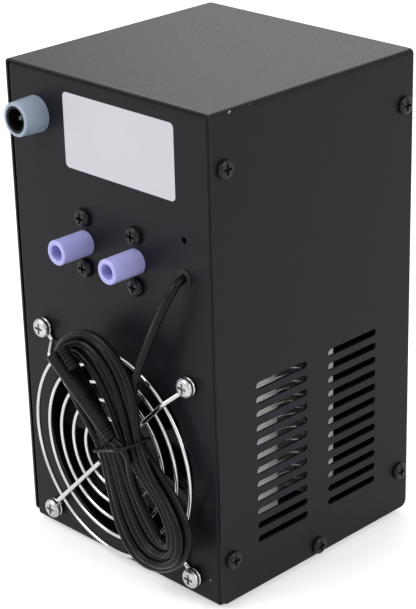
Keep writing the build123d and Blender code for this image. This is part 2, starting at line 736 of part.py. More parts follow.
# Water ports
for port_name, port_x in (("water_inlet_port", -PORT_X), ("water_outlet_port", PORT_X)):
    with BuildPart() as water_port:
        with BuildSketch(facing_ports(PORT_Y - TUBE_OUT)):
            with Locations((port_x, PORT_LINE_Z)):
                Circle(TUBE_OD / 2)
                Circle(TUBE_ID / 2, mode=Mode.SUBTRACT)
        extrude(amount=-TUBE_OUT)
        chamfer(water_port.edges().filter_by(GeomType.CIRCLE).group_by(Axis.Y)[0], TUBE_EDGE)
        with BuildSketch(facing_ports(PORT_Y)):
            with Locations((port_x, PORT_LINE_Z)):
                Circle(NECK_D / 2)
                Circle(TUBE_ID / 2, mode=Mode.SUBTRACT)
        extrude(amount=-(SHEET + TUBE_IN))
    finish(water_port, port_name)

port_screw = pan_screw(PORT_HEAD_D, PORT_HEAD_H, PORT_SCREW_D, PORT_SCREW_L)
with BuildPart() as port_screws:
    for x, z in PORT_SCREW_POINTS:
        with Locations(at_ports(x, z)):
            add(port_screw)
finish(port_screws, "port_screws")

# Water block: sockets for the tubes, and a channel closed by a lid
with BuildPart() as water_block:
    with BuildSketch(facing_ports(BEHIND_PANEL)):
        with Locations((0, PORT_LINE_Z)):
            RectangleRounded(BLOCK_W, BLOCK_H, BLOCK_R)
    extrude(amount=-BLOCK_T)
    with BuildSketch(facing_ports(BEHIND_PANEL)):
        with Locations((-PORT_X, PORT_LINE_Z), (PORT_X, PORT_LINE_Z)):
            Circle(NECK_D / 2 + HOLE_GAP)
    extrude(amount=-TUBE_IN, mode=Mode.SUBTRACT)
    with BuildSketch(facing_ports(BEHIND_PANEL)):
        with Locations(*PORT_SCREW_POINTS):
            Circle(PORT_SCREW_D / 2 + SEAT_GAP)
    extrude(amount=-(PORT_SCREW_L - SHEET), mode=Mode.SUBTRACT)
    # Channel from one port round to the other, open towards the lid
    with BuildSketch(facing_ports(LID_Y)):
        with Locations(
            (-(PORT_X + CHANNEL_X) / 2, PORT_LINE_Z),
            ((PORT_X + CHANNEL_X) / 2, PORT_LINE_Z),
        ):
            SlotCenterToCenter(CHANNEL_X - PORT_X, CHANNEL_W)
        with Locations(
            (-CHANNEL_X, PORT_LINE_Z - CHANNEL_DROP / 2),
            (CHANNEL_X, PORT_LINE_Z - CHANNEL_DROP / 2),
        ):
            SlotCenterToCenter(CHANNEL_DROP, CHANNEL_W, rotation=90)
        with Locations((0, PORT_LINE_Z - CHANNEL_DROP)):
            SlotCenterToCenter(2 * CHANNEL_X, CHANNEL_W)
    extrude(amount=CHANNEL_T, mode=Mode.SUBTRACT)
    # Groove for the gasket and tapped holes for the clamp screws
    with BuildSketch(facing_ports(LID_Y)):
        with Locations((0, PORT_LINE_Z)):
            gasket_ring(GASKET_W)
    extrude(amount=GASKET_T, mode=Mode.SUBTRACT)
    with BuildSketch(facing_ports(LID_Y)):
        with Locations(*CLAMP_POINTS):
            Circle(CLAMP_D / 2 + SEAT_GAP)
    extrude(amount=CLAMP_IN, mode=Mode.SUBTRACT)
finish(water_block, "water_block")

with BuildPart() as water_block_gasket:
    with BuildSketch(facing_ports(LID_Y)):
        with Locations((0, PORT_LINE_Z)):
            gasket_ring(GASKET_W - 2 * SEAT_GAP)
    extrude(amount=GASKET_T)
finish(water_block_gasket, "water_block_gasket")


def block_plate(y, thick, hole_d):
    """Plate the size of the water block from y inwards, with the clamp screws' holes."""
    with BuildPart() as plate:
        with BuildSketch(facing_ports(y)):
            with Locations((0, PORT_LINE_Z)):
                RectangleRounded(BLOCK_W, BLOCK_H, BLOCK_R)
            with Locations(*CLAMP_POINTS):
                Circle(hole_d / 2, mode=Mode.SUBTRACT)
        extrude(amount=-thick)
    return plate.part


with BuildPart() as water_block_lid:
    add(block_plate(LID_Y, LID_T, CLAMP_D + 2 * HOLE_GAP))
finish(water_block_lid, "water_block_lid")

# Thermoelectric module: two ceramic plates and the pellets between them
with BuildPart() as cooling_module:
    for y, side, thick in (
        (MODULE_Y, MODULE_SQ, CERAMIC_T),
        (MODULE_Y + CERAMIC_T, MODULE_SQ - 2 * PELLET_IN, MODULE_T - 2 * CERAMIC_T),
        (BASE_Y - CERAMIC_T, MODULE_SQ, CERAMIC_T),
    ):
        with BuildSketch(facing_ports(y)):
            with Locations((0, PORT_LINE_Z)):
                Rectangle(side, side)
        extrude(amount=-thick)
finish(cooling_module, "cooling_module")

with BuildPart() as foam_ring:
    add(block_plate(MODULE_Y, MODULE_T, CLAMP_D + 2 * HOLE_GAP))
    with BuildSketch(facing_ports(MODULE_Y)):
        with Locations((0, PORT_LINE_Z)):
            Rectangle(MODULE_SQ + 2 * FOAM_GAP, MODULE_SQ + 2 * FOAM_GAP)
    extrude(amount=-MODULE_T, mode=Mode.SUBTRACT)
finish(foam_ring, "foam_ring")

# Cooler base, bored for the heat pipes
PIPE_BASE_Y = BASE_Y + BASE_T / 2
PIPE_LINES = [
    ((side * base_x, PIPE_BASE_Y), (side * fin_x, PORT_Y + fin_depth))
    for base_x, fin_x, fin_depth in PIPE_ROWS
    for side in (-1, 1)
]
BASE_LOW_Z = PORT_LINE_Z - BLOCK_H / 2
BASE_TOP_Z = PORT_LINE_Z + BLOCK_H / 2
with BuildPart() as cooler_base:
    add(block_plate(BASE_Y, BASE_T, CLAMP_D + 2 * HOLE_GAP))
    with BuildSketch(Plane.XY.offset(BASE_LOW_Z)):
        with Locations(*[line[0] for line in PIPE_LINES]):
            Circle(PIPE_D / 2 + PIPE_FIT)
    extrude(amount=BLOCK_H, mode=Mode.SUBTRACT)
finish(cooler_base, "cooler_base")

CLAMP_L = BASE_T + MODULE_T + LID_T + CLAMP_IN - 2 * SEAT_GAP
clamp_screw = pan_screw(CLAMP_HEAD_D, CLAMP_HEAD_H, CLAMP_D, CLAMP_L)
with BuildPart() as clamp_screws:
    for x, z in CLAMP_POINTS:
        with Locations(
            Plane(origin=(x, BASE_Y + BASE_T, z), x_dir=(-1, 0, 0), z_dir=(0, 1, 0))
        ):
            add(clamp_screw)
finish(clamp_screws, "clamp_screws")

# Heat pipes run down out of the base, step back and fan out, and go through the fins
with BuildPart() as heat_pipes:
    for (base_x, base_y), (fin_x, fin_y) in PIPE_LINES:
        with BuildLine() as pipe_line:
            FilletPolyline(
                (base_x, base_y, BASE_TOP_Z - SHEET),
                (base_x, base_y, BOTTOM_Z + PIPE_UPPER_BEND_Z),
                (fin_x, fin_y, BOTTOM_Z + PIPE_LOWER_BEND_Z),
                (fin_x, fin_y, BOTTOM_Z + PIPE_END_Z),
                radius=PIPE_BEND,
            )
        with BuildSketch(Plane(origin=pipe_line.line @ 0, z_dir=pipe_line.line % 0)):
            Circle(PIPE_D / 2)
        sweep(path=pipe_line.line)
finish(heat_pipes, "heat_pipes")

# Fins: a sheet hollowed between the tabs that are folded down at its four corners
FIN_DEPTH = FIN_BACK - FIN_FRONT
FIN_MID_Y = PORT_Y + (FIN_FRONT + FIN_BACK) / 2
with BuildPart() as fin:
    with BuildSketch(Plane.XY):
        with BuildLine():
            for side in (-1, 1):
                edge = side * FIN_W / 2
                front = FIN_MID_Y - FIN_DEPTH / 2
                back = FIN_MID_Y + FIN_DEPTH / 2
                Line((edge, front), (edge, front + FIN_LOBE))
                ThreePointArc(
                    (edge, front + FIN_LOBE),
                    (edge - side * FIN_HOLLOW, FIN_MID_Y),
                    (edge, back - FIN_LOBE),
                )
                Line((edge, back - FIN_LOBE), (edge, back))
            Line((-FIN_W / 2, front), (FIN_W / 2, front))
            Line((-FIN_W / 2, back), (FIN_W / 2, back))
        make_face()
        with Locations(*[line[1] for line in PIPE_LINES]):
            Circle(PIPE_D / 2 + PIPE_FIT, mode=Mode.SUBTRACT)
    extrude(amount=FIN_T)
    with BuildSketch(Plane.XY):
        with Locations((0, FIN_MID_Y)):
            with GridLocations(FIN_W - FIN_T, FIN_DEPTH - FIN_LOBE, 2, 2):
                Rectangle(FIN_T, FIN_LOBE)
    extrude(amount=-FIN_TAB_H)

with BuildPart() as fin_stack:
    with Locations(
        *[(0, 0, BOTTOM_Z + FIN_LOW_Z + index * FIN_PITCH) for index in range(FIN_COUNT)]
    ):
        add(fin.part)
finish(fin_stack, "fin_stack")

# Power jack
JACK_LINE_Z = BOTTOM_Z + JACK_Z
COLLAR_TAPER = degrees(atan2((COLLAR_BASE_D - COLLAR_END_D) / 2, COLLAR_OUT))
with BuildPart() as power_jack_collar:
    with BuildSketch(facing_ports(PORT_Y)):
        with Locations((JACK_X, JACK_LINE_Z)):
            Circle(COLLAR_BASE_D / 2)
    extrude(amount=COLLAR_OUT, taper=COLLAR_TAPER)
    fillet(power_jack_collar.edges().filter_by(GeomType.CIRCLE).group_by(Axis.Y)[0], COLLAR_EDGE)
    with BuildSketch(facing_ports(PORT_Y)):
        with Locations((JACK_X, JACK_LINE_Z)):
            Circle(JACK_D / 2 + SEAT_GAP)
    extrude(amount=COLLAR_OUT, mode=Mode.SUBTRACT)
finish(power_jack_collar, "power_jack_collar")

JACK_END_Y = PORT_Y - COLLAR_OUT + JACK_SET_BACK
with BuildPart() as power_jack_body:
    with BuildSketch(facing_ports(JACK_END_Y)):
        with Locations((JACK_X, JACK_LINE_Z)):
            Circle(JACK_D / 2)
    extrude(amount=-(PORT_Y + JACK_IN - JACK_END_Y))
    with BuildSketch(facing_ports(JACK_END_Y)):
        with Locations((JACK_X, JACK_LINE_Z)):
            Circle(JACK_BORE_D / 2)
    extrude(amount=-JACK_BORE_L, mode=Mode.SUBTRACT)
    with BuildSketch(facing_ports(JACK_END_Y)):
        with Locations((JACK_X, JACK_LINE_Z)):
            Circle(JACK_PIN_D / 2 + SEAT_GAP)
    extrude(amount=-CASE_D, mode=Mode.SUBTRACT)
finish(power_jack_body, "power_jack_body")

JACK_PIN_Y = JACK_END_Y + JACK_BORE_L - JACK_PIN_L
JACK_TAIL_Y = PORT_Y + JACK_IN + JACK_TAIL_L
with BuildPart() as power_jack_pin:
    with BuildSketch(facing_ports(JACK_PIN_Y)):
        with Locations((JACK_X, JACK_LINE_Z)):
            Circle(JACK_PIN_D / 2)
    extrude(amount=-(JACK_TAIL_Y - JACK_PIN_Y))
    chamfer(power_jack_pin.edges().group_by(Axis.Y)[0], JACK_PIN_EDGE)
finish(power_jack_pin, "power_jack_pin")

with BuildPart() as power_jack_nut:
    with Locations(at_ports(JACK_X, JACK_LINE_Z, BEHIND_PANEL + JACK_NUT_T)):
        add(hex_nut(JACK_NUT_W, JACK_NUT_T, JACK_D + 2 * SEAT_GAP))
finish(power_jack_nut, "power_jack_nut")

# Grommet in the cord's hole
OUTLET_LINE_Z = BOTTOM_Z + OUTLET_Z
with BuildPart() as cord_grommet:
    for y, d, thick in (
        (PORT_Y - OUTLET_LIP_T, OUTLET_LIP_D, OUTLET_LIP_T),
        (PORT_Y, OUTLET_D - 2 * SEAT_GAP, SHEET),
        (BEHIND_PANEL, OUTLET_LIP_D, OUTLET_IN - SHEET),
    ):
        with BuildSketch(facing_ports(y)):
            with Locations((OUTLET_X, OUTLET_LINE_Z)):
                Circle(d / 2)
        extrude(amount=-thick)
    with BuildSketch(facing_ports(PORT_Y - OUTLET_LIP_T)):
        with Locations((OUTLET_X, OUTLET_LINE_Z)):
            Circle(CORD_D / 2 + SEAT_GAP)
    extrude(amount=-(OUTLET_LIP_T + OUTLET_IN), mode=Mode.SUBTRACT)
finish(cord_grommet, "cord_grommet")

# Thermostat bezel with its window and key holes
BEZEL_FACE_Y = FRONT_Y + BEZEL_T
with BuildPart() as thermostat_bezel:
    with BuildSketch(facing_front(FRONT_Y)):
        with Locations((0, PANEL_MID_Z)):
            RectangleRounded(BEZEL_W, BEZEL_H, BEZEL_R)
    extrude(amount=BEZEL_T)
    fillet(thermostat_bezel.edges().group_by(Axis.Y)[-1], BEZEL_EDGE)
    with BuildSketch(facing_front(FRONT_Y)):
        with Locations((0, PANEL_MID_Z)):
            Rectangle(SKIRT_W, SKIRT_H)
            Rectangle(SKIRT_W - 2 * SKIRT_WALL, SKIRT_H - 2 * SKIRT_WALL, mode=Mode.SUBTRACT)
    extrude(amount=-(SHEET + SKIRT_L))
    with BuildSketch(facing_front(BEZEL_FACE_Y)):
        with Locations((0, PANEL_MID_Z + LENS_Z)):
            Rectangle(LENS_W + 2 * LENS_FIT, LENS_H + 2 * LENS_FIT)
    extrude(amount=-LENS_T, mode=Mode.SUBTRACT)
    with BuildSketch(facing_front(BEZEL_FACE_Y)):
        with Locations((0, PANEL_MID_Z + LENS_Z)):
            Rectangle(LENS_W - 2 * LENS_REST, LENS_H - 2 * LENS_REST)
        with Locations(*[(x, PANEL_MID_Z + KEY_Z) for x in KEY_XS.values()]):
            Circle(KEY_D / 2 + KEY_FIT)
    extrude(amount=-BEZEL_T, mode=Mode.SUBTRACT)
finish(thermostat_bezel, "thermostat_bezel")

with BuildPart() as display_lens:
    with BuildSketch(facing_front(BEZEL_FACE_Y)):
        with Locations((0, PANEL_MID_Z + LENS_Z)):
            Rectangle(LENS_W, LENS_H)
    extrude(amount=-LENS_T)
finish(display_lens, "display_lens")

# Keys: a cap with a flange behind the bezel and a stem towards its switch
SWITCH_TOP_Y = BOARD_Y + SWITCH_T
for key_name, key_x in KEY_XS.items():
    with BuildPart() as key:
        for y, d, length in (
            (BEZEL_FACE_Y + KEY_PROUD, KEY_D, BEZEL_T + KEY_PROUD + SEAT_GAP),
            (FRONT_Y - SEAT_GAP, KEY_FLANGE_D, KEY_FLANGE_T),
            (FRONT_Y - SEAT_GAP, KEY_STEM_D, FRONT_Y - SWITCH_TOP_Y - KEY_TRAVEL - 3 * SEAT_GAP),
        ):
            with BuildSketch(facing_front(y)):
                with Locations((key_x, PANEL_MID_Z + KEY_Z)):
                    Circle(d / 2)
            extrude(amount=-length)
        fillet(key.edges().group_by(Axis.Y)[-1], KEY_EDGE)
    finish(key, key_name)

# Control board and what stands on it
with BuildPart() as board_standoffs:
    for x, z in BOARD_POINTS:
        with Locations(Plane(origin=(x, BOARD_Y, z), x_dir=(-1, 0, 0), z_dir=(0, 1, 0))):
            add(hex_nut(STANDOFF_W, BOARD_BACK, BOARD_SCREW_D + 2 * SEAT_GAP))
finish(board_standoffs, "board_standoffs")

BOARD_REAR_Y = BOARD_Y - BOARD_T
BOARD_LOW_Z = PANEL_MID_Z - BOARD_H / 2
with BuildPart() as control_board:
    with BuildSketch(facing_front(BOARD_Y)):
        with Locations((0, PANEL_MID_Z)):
            Rectangle(BOARD_W, BOARD_H)
        with Locations(*BOARD_POINTS):
            Circle(BOARD_SCREW_D / 2 + HOLE_GAP, mode=Mode.SUBTRACT)
    extrude(amount=-BOARD_T)
finish(control_board, "control_board")

board_screw = pan_screw(BOARD_HEAD_D, BOARD_HEAD_H, BOARD_SCREW_D, BOARD_T + BOARD_BACK / 2)
with BuildPart() as board_screws:
    for x, z in BOARD_POINTS:
        with Locations(at_ports(x, z, BOARD_REAR_Y)):
            add(board_screw)
finish(board_screws, "board_screws")

with BuildPart() as display_module:
    with BuildSketch(facing_front(BOARD_Y)):
        with Locations((0, PANEL_MID_Z + LENS_Z)):
            Rectangle(DISPLAY_W, DISPLAY_H)
    extrude(amount=DISPLAY_T)
finish(display_module, "display_module")

with BuildPart() as key_switches:
    with BuildSketch(facing_front(BOARD_Y)):
        with Locations(*[(x, PANEL_MID_Z + KEY_Z) for x in KEY_XS.values()]):
            Rectangle(SWITCH_SQ, SWITCH_SQ)
    extrude(amount=SWITCH_T)
finish(key_switches, "key_switches")

with BuildPart() as board_capacitors:
    with BuildSketch(facing_ports(BOARD_REAR_Y)):
        with Locations((0, PANEL_MID_Z + CAP_Z)):
            with GridLocations(CAP_PITCH, 0, CAP_COUNT, 1):
                Circle(CAP_D / 2)
    extrude(amount=CAP_L)
    chamfer(board_capacitors.edges().group_by(Axis.Y)[0], CAP_EDGE)
finish(board_capacitors, "board_capacitors")

TERMINAL_Z = PANEL_MID_Z - TERMINAL_DROP
TERMINAL_PITCH = TERMINAL_W / TERMINAL_WAYS
with BuildPart() as terminal_block:
    with BuildSketch(facing_ports(BOARD_REAR_Y)):
        with Locations((0, TERMINAL_Z)):
            Rectangle(TERMINAL_W, TERMINAL_H)
    extrude(amount=TERMINAL_T)
    with BuildSketch(facing_ports(BOARD_REAR_Y - TERMINAL_T)):
        with Locations((0, TERMINAL_Z)):
            with GridLocations(TERMINAL_PITCH, 0, TERMINAL_WAYS, 1):
                Rectangle(TERMINAL_PITCH - TERMINAL_WALL, TERMINAL_MOUTH_H)
    extrude(amount=-TERMINAL_MOUTH_T, mode=Mode.SUBTRACT)
finish(terminal_block, "terminal_block")

# Wiring from the jack, the module and the fan to the board, and the cord's inner end
TERMINAL_FACE_Y = BOARD_REAR_Y - TERMINAL_T
MODULE_LEAD_Y = (MODULE_Y + BASE_Y) / 2
FAN_TOP_Z = FAN_AXIS_Z + FAN_SQ / 2


def to_terminal(way):
    """Last two points of a wire that ends in the given way of the terminal block."""
    x = (way - (TERMINAL_WAYS - 1) / 2) * TERMINAL_PITCH
    return (x, TERMINAL_FACE_Y - WIRE_END, TERMINAL_Z), (x, TERMINAL_FACE_Y, TERMINAL_Z)


def module_wire(side, way):
    """Route of a wire that comes up out of the foam beside the module."""
    x = side * MODULE_WIRE_X
    rise_z = BASE_TOP_Z + MODULE_WIRE_RISE
    return (
        WIRE_D,
        (x, MODULE_LEAD_Y, BASE_TOP_Z + WIRE_OFF),
        (x, MODULE_LEAD_Y, rise_z),
        (x, MID_Y, rise_z - MODULE_WIRE_SAG),
        *to_terminal(way),
    )


WIRE_ROUTES = [
    (
        WIRE_D,
        (JACK_X, JACK_TAIL_Y, JACK_LINE_Z),
        (JACK_X, JACK_TAIL_Y + JACK_WIRE_RUN, JACK_LINE_Z),
        (JACK_WIRE_X, MID_Y, TERMINAL_Z + JACK_WIRE_UP),
        *to_terminal(0),
    ),
    module_wire(-1, 2),
    module_wire(1, 3),
    (
        WIRE_D,
        (FAN_WIRE_X, FAN_REAR_Y - FAN_FLANGE_T / 2, FAN_TOP_Z + WIRE_OFF),
        (FAN_WIRE_X, FAN_REAR_Y - FAN_FLANGE_T / 2, FAN_TOP_Z + FAN_WIRE_RISE),
        (FAN_WIRE_TURN[0], MID_Y, FAN_TOP_Z + FAN_WIRE_TURN[1]),
        (FAN_WIRE_BOARD[0], BOARD_REAR_Y - WIRE_END, BOARD_LOW_Z + FAN_WIRE_BOARD[1]),
        (FAN_WIRE_BOARD[0], BOARD_REAR_Y, BOARD_LOW_Z + FAN_WIRE_BOARD[1]),
    ),
    (
        CORD_D,
        (OUTLET_X, PORT_Y + CORD_IN, OUTLET_LINE_Z),
        (OUTLET_X, PORT_Y + CORD_IN + INNER_CORD_RUN, OUTLET_LINE_Z),
        (INNER_CORD_TURN[0], MID_Y, OUTLET_LINE_Z + INNER_CORD_TURN[1]),
        (INNER_CORD_BOARD_X, BOARD_REAR_Y - WIRE_END, PANEL_MID_Z),
        (INNER_CORD_BOARD_X, BOARD_REAR_Y, PANEL_MID_Z),
    ),
]


def route_radii(points, share=0.45):
    """Arc at each inner point of a route, as large as its shorter run allows."""
    vectors = [Vector(*point) for point in points]
    radii = []
    for before, here, after in zip(vectors, vectors[1:], vectors[2:]):
        run_in = here - before
        run_out = after - here
        half_turn = radians(run_in.get_angle(run_out)) / 2
        radii.append(share * min(run_in.length, run_out.length) / tan(half_turn))
    return radii


with BuildPart() as wiring:
    for route_d, *route_points in WIRE_ROUTES:
        with BuildLine() as wire_line:
            FilletPolyline(*route_points, radius=route_radii(route_points))
        with BuildSketch(Plane(origin=wire_line.line @ 0, z_dir=wire_line.line % 0)):
            Circle(route_d / 2)
        sweep(path=wire_line.line)
finish(wiring, "wiring")


def before_panel(x, out, z):
    """Point in front of the port panel: x, distance from the panel, height above the chassis."""
    return (x, PORT_Y - out, BOTTOM_Z + z)


# Lead of the sensor cord: out of the grommet, down beside the fan and into the hank
LEAD_ROUTE = [
    (OUTLET_X, PORT_Y + CORD_IN, OUTLET_LINE_Z),
    *[before_panel(*point) for point in LEAD_POINTS],
]
lead_radii = route_radii(LEAD_ROUTE)
print("lead radii", [round(radius, 1) for radius in lead_radii])
with BuildPart() as sensor_cord_lead:
    with BuildLine() as lead_line:
        FilletPolyline(*LEAD_ROUTE, radius=lead_radii)
    with BuildSketch(Plane(origin=lead_line.line @ 0, z_dir=lead_line.line % 0)):
        Circle(CORD_D / 2)
    sweep(path=lead_line.line)
lead_length = sum(edge.length for edge in lead_line.edges())
lead_volume = pi * (CORD_D / 2) ** 2 * lead_length
print("lead length", round(lead_length, 1))
print("lead volume over section times length", round(sensor_cord_lead.part.volume / lead_volume, 4))
finish(sensor_cord_lead, "sensor_cord_lead")

# Hank: outer shape of the tied turns, hanging in front of the guard
WAIST = (HANK_OUTLINE[7], HANK_OUTLINE[0])
with BuildPart() as sensor_cord_hank:
    with BuildSketch(facing_ports(PORT_Y - HANK_BACK)):
        with BuildLine():
            Spline(*[(x, BOTTOM_Z + z) for x, z in HANK_OUTLINE], periodic=True)
        make_face()
    extrude(amount=HANK_T)
    fillet(sensor_cord_hank.faces().filter_by(Axis.Y).edges(), HANK_ROUND)
finish(sensor_cord_hank, "sensor_cord_hank")

# Tie round the waist of the hank
(waist_x0, waist_z0), (waist_x1, waist_z1) = WAIST
waist_w = hypot(waist_x1 - waist_x0, waist_z1 - waist_z0)
waist_plane = Plane(
    origin=before_panel((waist_x0 + waist_x1) / 2, HANK_BACK + HANK_T / 2, (waist_z0 + waist_z1) / 2),
    x_dir=(waist_x1 - waist_x0, 0, waist_z1 - waist_z0),
    z_dir=(waist_z1 - waist_z0, 0, waist_x0 - waist_x1),
)
with BuildPart() as cord_tie:
    with BuildSketch(waist_plane):
        RectangleRounded(
            waist_w + 2 * (TIE_GAP + TIE_D), HANK_T + 2 * (TIE_GAP + TIE_D), TIE_R + TIE_D
        )
        RectangleRounded(waist_w + 2 * TIE_GAP, HANK_T + 2 * TIE_GAP, TIE_R, mode=Mode.SUBTRACT)
    extrude(amount=TIE_D / 2, both=True)
finish(cord_tie, "cord_tie")

# Probe at the cord's end, its ribbed relief, and a ribbed sleeve on the cord
PROBE_OUT = HANK_BACK + HANK_T + PROBE_GAP + PROBE_TIP_D / 2
PROBE_TIP = before_panel(PROBE_X, PROBE_OUT, PROBE_Z)
PROBE_END_L = PROBE_STEP_L + PROBE_BODY_L
probe_dir = (cos(radians(PROBE_TURN)), 0, sin(radians(PROBE_TURN)))


def along(start, direction, distance):
    """Plane square to a direction, at a distance along it."""
    origin = tuple(a + b * distance for a, b in zip(start, direction))
    return Plane(origin=origin, x_dir=(0, 1, 0), z_dir=direction)


with BuildPart() as probe_body:
    with BuildSketch(along(PROBE_TIP, probe_dir, 0)):
        Circle(PROBE_TIP_D / 2)
    extrude(amount=PROBE_STEP_L)
    with BuildSketch(along(PROBE_TIP, probe_dir, PROBE_STEP_L)):
        Circle(PROBE_D / 2)
    extrude(amount=PROBE_BODY_L)
    chamfer(probe_body.edges().sort_by(Axis(PROBE_TIP, probe_dir))[0], PROBE_EDGE)
finish(probe_body, "probe_body")


def ribbed_sleeve(start, direction, diameter, ribs):
    """Sleeve of ribs with narrow slits between them."""
    with BuildPart() as sleeve:
        with BuildSketch(along(start, direction, 0)):
            Circle(diameter / 2 - RIB_SLIT)
        extrude(amount=ribs * RELIEF_PITCH)
        for index in range(ribs):
            with BuildSketch(along(start, direction, index * RELIEF_PITCH)):
                Circle(diameter / 2)
            extrude(amount=RELIEF_PITCH - RIB_SLIT)
    return sleeve.part


with BuildPart() as probe_relief:
    add(
        ribbed_sleeve(
            tuple(along(PROBE_TIP, probe_dir, PROBE_END_L).origin), probe_dir, RELIEF_D, RELIEF_RIBS
        )
    )
finish(probe_relief, "probe_relief")

sleeve_dir = (cos(radians(SLEEVE_TURN)), 0, sin(radians(SLEEVE_TURN)))
SLEEVE_START = before_panel(SLEEVE_X, HANK_BACK + HANK_T + PROBE_GAP + SLEEVE_D / 2, SLEEVE_Z)
with BuildPart() as cord_sleeve:
    add(ribbed_sleeve(SLEEVE_START, sleeve_dir, SLEEVE_D, SLEEVE_RIBS))
finish(cord_sleeve, "cord_sleeve")
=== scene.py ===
# Looks of the aquarium chiller: its finishes, with the few chips in the paint, the sensor
# cord with its tied turns, the marks on the keys, and a plain studio. Metres, +Z up, and the
# port panel faces -Y.
import json
from math import cos, radians, sin

import bpy
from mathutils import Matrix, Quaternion, Vector


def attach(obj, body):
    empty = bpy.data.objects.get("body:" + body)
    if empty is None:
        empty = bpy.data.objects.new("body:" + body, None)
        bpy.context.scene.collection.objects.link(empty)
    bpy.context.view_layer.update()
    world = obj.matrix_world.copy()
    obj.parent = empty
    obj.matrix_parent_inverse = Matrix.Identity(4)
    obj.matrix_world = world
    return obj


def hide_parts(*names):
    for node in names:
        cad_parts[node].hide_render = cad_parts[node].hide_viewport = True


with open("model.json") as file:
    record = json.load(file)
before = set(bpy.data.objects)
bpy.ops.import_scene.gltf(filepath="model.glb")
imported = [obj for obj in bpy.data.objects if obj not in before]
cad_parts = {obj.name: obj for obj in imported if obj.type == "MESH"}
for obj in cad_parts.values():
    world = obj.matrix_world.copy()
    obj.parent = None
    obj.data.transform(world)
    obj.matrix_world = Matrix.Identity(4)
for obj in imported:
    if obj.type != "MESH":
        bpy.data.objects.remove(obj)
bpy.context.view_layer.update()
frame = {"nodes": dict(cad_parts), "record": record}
nodes = frame["nodes"]

# Camera, solved from the photograph
CAMERA_PLACE = (0.51673, -0.50052, 0.40824)
CAMERA_HEADING = 135.87  # degrees from +X towards +Y
CAMERA_DROP = 23.67  # degrees below level
CAMERA_ROLL = -1.58  # degrees
CAMERA_SENSOR_H = 36.0  # mm
CAMERA_LENS = 114.78  # mm
CAMERA_SHIFT = (0.0029, 0.0219)
CAMERA_NEAREST = 0.01  # nothing closer than this is drawn

# The case, as in the part's source
PORT_Y = -0.0489  # outer face of the port panel
BOTTOM_Z = 0.002  # underside of the chassis

# Sensor cord. Its diameter and the lead's route from the grommet to the turns are as in the
# part's source, and its length is worked out from the turns in the photograph.
CORD_D = 0.0033
CORD_ROUNDNESS = 5  # of its section
CURVE_STEPS = 8  # along each span of a curve
LEAD_ROUTE = [
    (0.0404, -0.0465, 0.1366),
    (0.0404, -0.0520, 0.1366),
    (0.0397, -0.0557, 0.1318),
    (0.0366, -0.0578, 0.1243),
    (0.0319, -0.0585, 0.1148),
    (0.0276, -0.0590, 0.1052),
    (0.0249, -0.0594, 0.0988),
    (0.0228, -0.0597, 0.0932),
]
# The lead's way on behind the turns: x and height above the chassis
LEAD_JOIN = [(0.0200, 0.0835), (0.0192, 0.0725), (0.0240, 0.0635)]
LEAD_OUT = 0.0099  # its middle in front of the panel

# Places round a turn, in the order in which the cord passes them: x and height above the
# chassis, on the outermost turn and on the innermost one, and how much of the two layers'
# distance is kept there, as the turns lie side by side where there is room for it
LOWER_LOBE = [
    ((0.0345, 0.0560), (0.0270, 0.0545), 1.0),
    ((0.0440, 0.0465), (0.0375, 0.0465), 1.0),
    ((0.0500, 0.0350), (0.0430, 0.0368), 1.0),
    ((0.0470, 0.0225), (0.0430, 0.0285), 0.8),
    ((0.0350, 0.0135), (0.0380, 0.0270), 0.4),
    ((0.0205, 0.0130), (0.0335, 0.0300), 0.2),
    ((0.0110, 0.0250), (0.0275, 0.0375), 0.15),
    ((0.0070, 0.0420), (0.0205, 0.0490), 0.15),
]
WAIST_LEFT = ((0.0038, 0.0575), (0.0150, 0.0610), 0.6)
UPPER_LOBE = [
    ((-0.0095, 0.0755), (0.0030, 0.0765), 0.8),
    ((-0.0190, 0.0915), (-0.0125, 0.0880), 1.0),
    ((-0.0100, 0.1015), (-0.0140, 0.0935), 0.8),
    ((0.0042, 0.1062), (-0.0075, 0.0955), 0.3),
    ((0.0185, 0.0970), (0.0025, 0.0895), 0.15),
    ((0.0246, 0.0810), (0.0100, 0.0795), 0.15),
]
WAIST_RIGHT = ((0.0268, 0.0672), (0.0180, 0.0633), 0.6)
# How far each pass lies from the outermost turn (0) towards the innermost (1)
LOWER_SHARES = (0.0, 0.2, 0.4, 0.6, 0.8, 1.0)
UPPER_SHARES = (0.0, 0.25, 0.5, 0.75, 1.0)
TURN_OUT = 0.0127  # halfway between the two layers of turns, in front of the panel
TURN_HALF_APART = 0.0018

# Tie round the waist of the turns: its middle, its heading, and its loop, each place as
# the distance along the waist and the distance in front of the panel
TIE_D = 0.0011
TIE_ROUNDNESS = 4
TIE_MIDDLE = (0.0150, 0.0620)  # x and height above the chassis
TIE_TURN = radians(24.8)
TIE_LOOP = [
    (-0.0105, 0.0081),
    (-0.0128, 0.0084),
    (-0.0136, 0.0125),
    (-0.0128, 0.0172),
    (-0.0060, 0.0178),
    (0.0020, 0.0196),
    (0.0075, 0.0218),
    (0.0120, 0.0196),
    (0.0146, 0.0160),
    (0.0148, 0.0084),
    (0.0120, 0.0081),
]

# Probe at the cord's end, as in the part's source
PROBE_TIP = Vector((-0.0136, -0.06895, 0.0961))
PROBE_TURN = radians(-38.5)
PROBE_L = 0.0414  # tip to the end of the relief
CORD_UNDER_TIE = 0.0032  # how far the cord drops back behind the probe's axis

